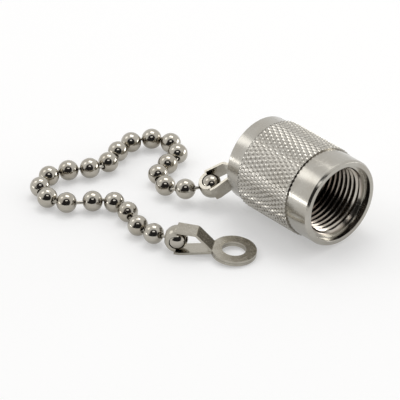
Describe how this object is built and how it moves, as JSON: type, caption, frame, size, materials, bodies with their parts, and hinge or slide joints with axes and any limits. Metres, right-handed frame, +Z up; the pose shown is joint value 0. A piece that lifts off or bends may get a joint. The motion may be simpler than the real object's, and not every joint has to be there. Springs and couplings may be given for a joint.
{
  "type": "connector dust cap",
  "caption": "Knurled internally threaded metal dust cap for a circular connector, with a ball chain riveted to its back and an eyelet coupling at the free end.",
  "frame": {"origin": "on the axis of the cap where the full thread begins, 1.75 mm inside the rim of the mouth", "axes": "+X along the axis of the cap, out of its mouth; +Z up as it lies on a table; the chain lies on the -Y side and the table is at z = -7.3 mm"},
  "size_m": [0.0448, 0.0344, 0.0146],
  "materials": {
    "cap_metal": "nickel plated, turned and knurled",
    "gasket_rubber": "matt",
    "rivet_metal": "nickel plated",
    "coupling_metal": "nickel plated, satin strip",
    "ball_metal": "nickel plated, polished",
    "link_metal": "nickel plated"
  },
  "bodies": {
    "cap": {"cap_body": "cap_metal", "gasket": "gasket_rubber", "rivet": "rivet_metal"},
    "cap_coupling": {"cap_coupling": "coupling_metal"},
    "ball_01": {"ball_01": "ball_metal"},
    "link_01": {"link_01": "link_metal"},
    "ball_02": {"ball_02": "ball_metal"},
    "link_02": {"link_02": "link_metal"},
    "ball_03": {"ball_03": "ball_metal"},
    "link_03": {"link_03": "link_metal"},
    "ball_04": {"ball_04": "ball_metal"},
    "link_04": {"link_04": "link_metal"},
    "ball_05": {"ball_05": "ball_metal"},
    "link_05": {"link_05": "link_metal"},
    "ball_06": {"ball_06": "ball_metal"},
    "link_06": {"link_06": "link_metal"},
    "ball_07": {"ball_07": "ball_metal"},
    "link_07": {"link_07": "link_metal"},
    "ball_08": {"ball_08": "ball_metal"},
    "link_08": {"link_08": "link_metal"},
    "ball_09": {"ball_09": "ball_metal"},
    "link_09": {"link_09": "link_metal"},
    "ball_10": {"ball_10": "ball_metal"},
    "link_10": {"link_10": "link_metal"},
    "ball_11": {"ball_11": "ball_metal"},
    "link_11": {"link_11": "link_metal"},
    "ball_12": {"ball_12": "ball_metal"},
    "link_12": {"link_12": "link_metal"},
    "ball_13": {"ball_13": "ball_metal"},
    "link_13": {"link_13": "link_metal"},
    "ball_14": {"ball_14": "ball_metal"},
    "link_14": {"link_14": "link_metal"},
    "ball_15": {"ball_15": "ball_metal"},
    "link_15": {"link_15": "link_metal"},
    "ball_16": {"ball_16": "ball_metal"},
    "link_16": {"link_16": "link_metal"},
    "ball_17": {"ball_17": "ball_metal"},
    "link_17": {"link_17": "link_metal"},
    "ball_18": {"ball_18": "ball_metal"},
    "link_18": {"link_18": "link_metal"},
    "ball_19": {"ball_19": "ball_metal"},
    "link_19": {"link_19": "link_metal"},
    "ball_20": {"ball_20": "ball_metal"},
    "link_20": {"link_20": "link_metal"},
    "ball_21": {"ball_21": "ball_metal"},
    "link_21": {"link_21": "link_metal"},
    "ball_22": {"ball_22": "ball_metal"},
    "link_22": {"link_22": "link_metal"},
    "ball_23": {"ball_23": "ball_metal"},
    "free_coupling": {"free_coupling": "coupling_metal"}
  },
  "joints": [
    {"name": "cap_coupling_swivel", "type": "hinge", "parent": "cap", "child": "cap_coupling", "pos_m": [-0.01685, 0, 0], "axis": [1, 0, 0], "continuous": true},
    {"name": "cap_cup_ball", "type": "hinge", "parent": "cap_coupling", "child": "ball_01", "pos_m": [-0.02025, -0.00638, -0.00399], "axis": [-0.1163, -0.1724, 0.9781], "range_deg": [-14, 19]},
    {"name": "link_01_start", "type": "hinge", "parent": "ball_01", "child": "link_01", "pos_m": [-0.02104, -0.00755, -0.00429], "axis": [-0.4144, 0.5905, -0.6925], "range_deg": [-21, 7]},
    {"name": "link_01_end", "type": "hinge", "parent": "link_01", "child": "ball_02", "pos_m": [-0.02192, -0.00848, -0.00456], "axis": [-0.6111, 0.3833, 0.6925], "range_deg": [-7, 20]},
    {"name": "link_02_start", "type": "hinge", "parent": "ball_02", "child": "link_02", "pos_m": [-0.02418, -0.01018, -0.0051], "axis": [-0.3007, 0.6497, 0.6982], "range_deg": [-6, 33]},
    {"name": "link_02_end", "type": "hinge", "parent": "link_02", "child": "ball_03", "pos_m": [-0.02519, -0.01047, -0.00527], "axis": [-0.2732, 0.9619, 0], "range_deg": [-17, 12]},
    {"name": "link_03_start", "type": "hinge", "parent": "ball_03", "child": "link_03", "pos_m": [-0.02804, -0.01022, -0.00557], "axis": [-0.2465, -0.6643, -0.7056], "range_deg": [-31, 7]},
    {"name": "link_03_end", "type": "hinge", "parent": "link_03", "child": "ball_04", "pos_m": [-0.02902, -0.00978, -0.00564], "axis": [-0.4076, -0.9132, 0], "range_deg": [-13, 18]},
    {"name": "link_04_start", "type": "hinge", "parent": "ball_04", "child": "link_04", "pos_m": [-0.03113, -0.00782, -0.00569], "axis": [-0.9272, -0.3746, 0], "range_deg": [-17, 18]},
    {"name": "link_04_end", "type": "hinge", "parent": "link_04", "child": "ball_05", "pos_m": [-0.03139, -0.00718, -0.0057], "axis": [0.6531, 0.2712, 0.7071], "range_deg": [-7, 43]},
    {"name": "link_05_start", "type": "hinge", "parent": "ball_05", "child": "link_05", "pos_m": [-0.03124, -0.0043, -0.0057], "axis": [-0.6579, -0.2592, -0.7071], "range_deg": [-7, 43]},
    {"name": "link_05_end", "type": "hinge", "parent": "link_05", "child": "ball_06", "pos_m": [-0.0315, -0.00362, -0.0057], "axis": [-0.6579, -0.2592, 0.7071], "range_deg": [-43, 7]},
    {"name": "link_06_start", "type": "hinge", "parent": "ball_06", "child": "link_06", "pos_m": [-0.03358, -0.00162, -0.0057], "axis": [0.2706, 0.6533, 0.7071], "range_deg": [-42, 10]},
    {"name": "link_06_end", "type": "hinge", "parent": "link_06", "child": "ball_07", "pos_m": [-0.03415, -0.00138, -0.0057], "axis": [0.2706, 0.6533, -0.7071], "range_deg": [-10, 42]},
    {"name": "link_07_start", "type": "hinge", "parent": "ball_07", "child": "link_07", "pos_m": [-0.03703, -0.00133, -0.0057], "axis": [-0.2876, 0.646, 0.7071], "range_deg": [-43, 7]},
    {"name": "link_07_end", "type": "hinge", "parent": "link_07", "child": "ball_08", "pos_m": [-0.03766, -0.00161, -0.0057], "axis": [-0.2876, 0.646, -0.7071], "range_deg": [-7, 43]},
    {"name": "link_08_start", "type": "hinge", "parent": "ball_08", "child": "link_08", "pos_m": [-0.03955, -0.00379, -0.0057], "axis": [-0.6355, 0.31, 0.7071], "range_deg": [-39, 18]},
    {"name": "link_08_end", "type": "hinge", "parent": "link_08", "child": "ball_09", "pos_m": [-0.0398, -0.0043, -0.0057], "axis": [0.8333, -0.4065, -0.3746], "range_deg": [-21, 33]},
    {"name": "link_09_start", "type": "hinge", "parent": "ball_09", "child": "link_09", "pos_m": [-0.04035, -0.00712, -0.0057], "axis": [0.6941, 0.1349, -0.7071], "range_deg": [-10, 42]},
    {"name": "link_09_end", "type": "hinge", "parent": "link_09", "child": "ball_10", "pos_m": [-0.04023, -0.00774, -0.0057], "axis": [0.6941, 0.1349, 0.7071], "range_deg": [-42, 10]},
    {"name": "link_10_start", "type": "hinge", "parent": "ball_10", "child": "link_10", "pos_m": [-0.03866, -0.01016, -0.0057], "axis": [0.9205, 0.3907, 0], "range_deg": [-28, 28]},
    {"name": "link_10_end", "type": "hinge", "parent": "link_10", "child": "ball_11", "pos_m": [-0.03844, -0.01068, -0.0057], "axis": [-0.6509, -0.2763, -0.7071], "range_deg": [-36, 22]},
    {"name": "link_11_start", "type": "hinge", "parent": "ball_11", "child": "link_11", "pos_m": [-0.03779, -0.01348, -0.0057], "axis": [0.9069, -0.1928, -0.3746], "range_deg": [-30, 10]},
    {"name": "link_11_end", "type": "hinge", "parent": "link_11", "child": "ball_12", "pos_m": [-0.03793, -0.01416, -0.0057], "axis": [-0.9781, 0.2079, 0], "range_deg": [-18, 18]},
    {"name": "link_12_start", "type": "hinge", "parent": "ball_12", "child": "link_12", "pos_m": [-0.03967, -0.01646, -0.0057], "axis": [-0.593, 0.3851, 0.7071], "range_deg": [-31, 25]},
    {"name": "link_12_end", "type": "hinge", "parent": "link_12", "child": "ball_13", "pos_m": [-0.03993, -0.01686, -0.0057], "axis": [0.7776, -0.505, -0.3746], "range_deg": [-26, 29]},
    {"name": "link_13_start", "type": "hinge", "parent": "ball_13", "child": "link_13", "pos_m": [-0.04132, -0.01938, -0.0057], "axis": [0.6861, -0.1711, -0.7071], "range_deg": [-18, 39]},
    {"name": "link_13_end", "type": "hinge", "parent": "link_13", "child": "ball_14", "pos_m": [-0.04146, -0.01993, -0.0057], "axis": [-0.8996, 0.2243, 0.3746], "range_deg": [-33, 21]},
    {"name": "link_14_start", "type": "hinge", "parent": "ball_14", "child": "link_14", "pos_m": [-0.04141, -0.02281, -0.0057], "axis": [-0.6355, -0.31, 0.7071], "range_deg": [-43, 7]},
    {"name": "link_14_end", "type": "hinge", "parent": "link_14", "child": "ball_15", "pos_m": [-0.04111, -0.02343, -0.0057], "axis": [-0.6355, -0.31, -0.7071], "range_deg": [-7, 43]},
    {"name": "link_15_start", "type": "hinge", "parent": "ball_15", "child": "link_15", "pos_m": [-0.03887, -0.02524, -0.0057], "axis": [0, 0, -1], "range_deg": [-8, 49]},
    {"name": "link_15_end", "type": "hinge", "parent": "link_15", "child": "ball_16", "pos_m": [-0.03833, -0.02544, -0.0057], "axis": [0.3171, 0.8713, 0.3746], "range_deg": [-32, 16]},
    {"name": "link_16_start", "type": "hinge", "parent": "ball_16", "child": "link_16", "pos_m": [-0.03545, -0.02549, -0.0057], "axis": [0.2592, -0.6579, -0.7071], "range_deg": [-10, 42]},
    {"name": "link_16_end", "type": "hinge", "parent": "link_16", "child": "ball_17", "pos_m": [-0.03481, -0.02524, -0.0057], "axis": [0.2592, -0.6579, 0.7071], "range_deg": [-42, 10]},
    {"name": "link_17_start", "type": "hinge", "parent": "ball_17", "child": "link_17", "pos_m": [-0.03273, -0.02324, -0.0057], "axis": [0, 0, -1], "range_deg": [-13, 30]},
    {"name": "link_17_end", "type": "hinge", "parent": "link_17", "child": "ball_18", "pos_m": [-0.03203, -0.02232, -0.0057], "axis": [0.7934, -0.6088, 0], "range_deg": [-19, 19]},
    {"name": "link_18_start", "type": "hinge", "parent": "ball_18", "child": "link_18", "pos_m": [-0.03064, -0.0198, -0.0057], "axis": [-0.4639, 0.5337, 0.7071], "range_deg": [-12, 41]},
    {"name": "link_18_end", "type": "hinge", "parent": "link_18", "child": "ball_19", "pos_m": [-0.03015, -0.01938, -0.0057], "axis": [-0.6083, 0.6998, -0.3746], "range_deg": [-32, 16]},
    {"name": "link_19_start", "type": "hinge", "parent": "ball_19", "child": "link_19", "pos_m": [-0.02746, -0.01835, -0.0057], "axis": [-0.0493, -0.7054, -0.7071], "range_deg": [-43, 7]},
    {"name": "link_19_end", "type": "hinge", "parent": "link_19", "child": "ball_20", "pos_m": [-0.02662, -0.01841, -0.0057], "axis": [-0.0698, -0.9976, 0], "range_deg": [-18, 18]},
    {"name": "link_20_start", "type": "hinge", "parent": "ball_20", "child": "link_20", "pos_m": [-0.02411, -0.0198, -0.0057], "axis": [0.2302, 0.6686, -0.7071], "range_deg": [-5, 19]},
    {"name": "link_20_end", "type": "hinge", "parent": "link_20", "child": "ball_21", "pos_m": [-0.02286, -0.02023, -0.0057], "axis": [-0.2302, -0.6686, -0.7071], "range_deg": [-5, 19]},
    {"name": "link_21_start", "type": "hinge", "parent": "ball_21", "child": "link_21", "pos_m": [-0.02002, -0.02068, -0.0057], "axis": [0.0009, 0.7078, -0.7064], "range_deg": [-19, 39]},
    {"name": "link_21_end", "type": "hinge", "parent": "link_21", "child": "ball_22", "pos_m": [-0.01934, -0.02065, -0.00567], "axis": [0.062, -0.7051, -0.7064], "range_deg": [-22, 35]},
    {"name": "link_22_start", "type": "hinge", "parent": "ball_22", "child": "link_22", "pos_m": [-0.01656, -0.01996, -0.00542], "axis": [0.1777, -0.6872, 0.7044], "range_deg": [-19, 12]},
    {"name": "link_22_end", "type": "hinge", "parent": "link_22", "child": "ball_23", "pos_m": [-0.01535, -0.01953, -0.00531], "axis": [0.2944, -0.6459, -0.7044], "range_deg": [-12, 15]},
    {"name": "free_cup_ball", "type": "hinge", "parent": "ball_23", "child": "free_coupling", "pos_m": [-0.01405, -0.01892, -0.00518], "axis": [-0.079, -0.0368, 0.9962], "range_deg": [-32, 3]}
  ]
}
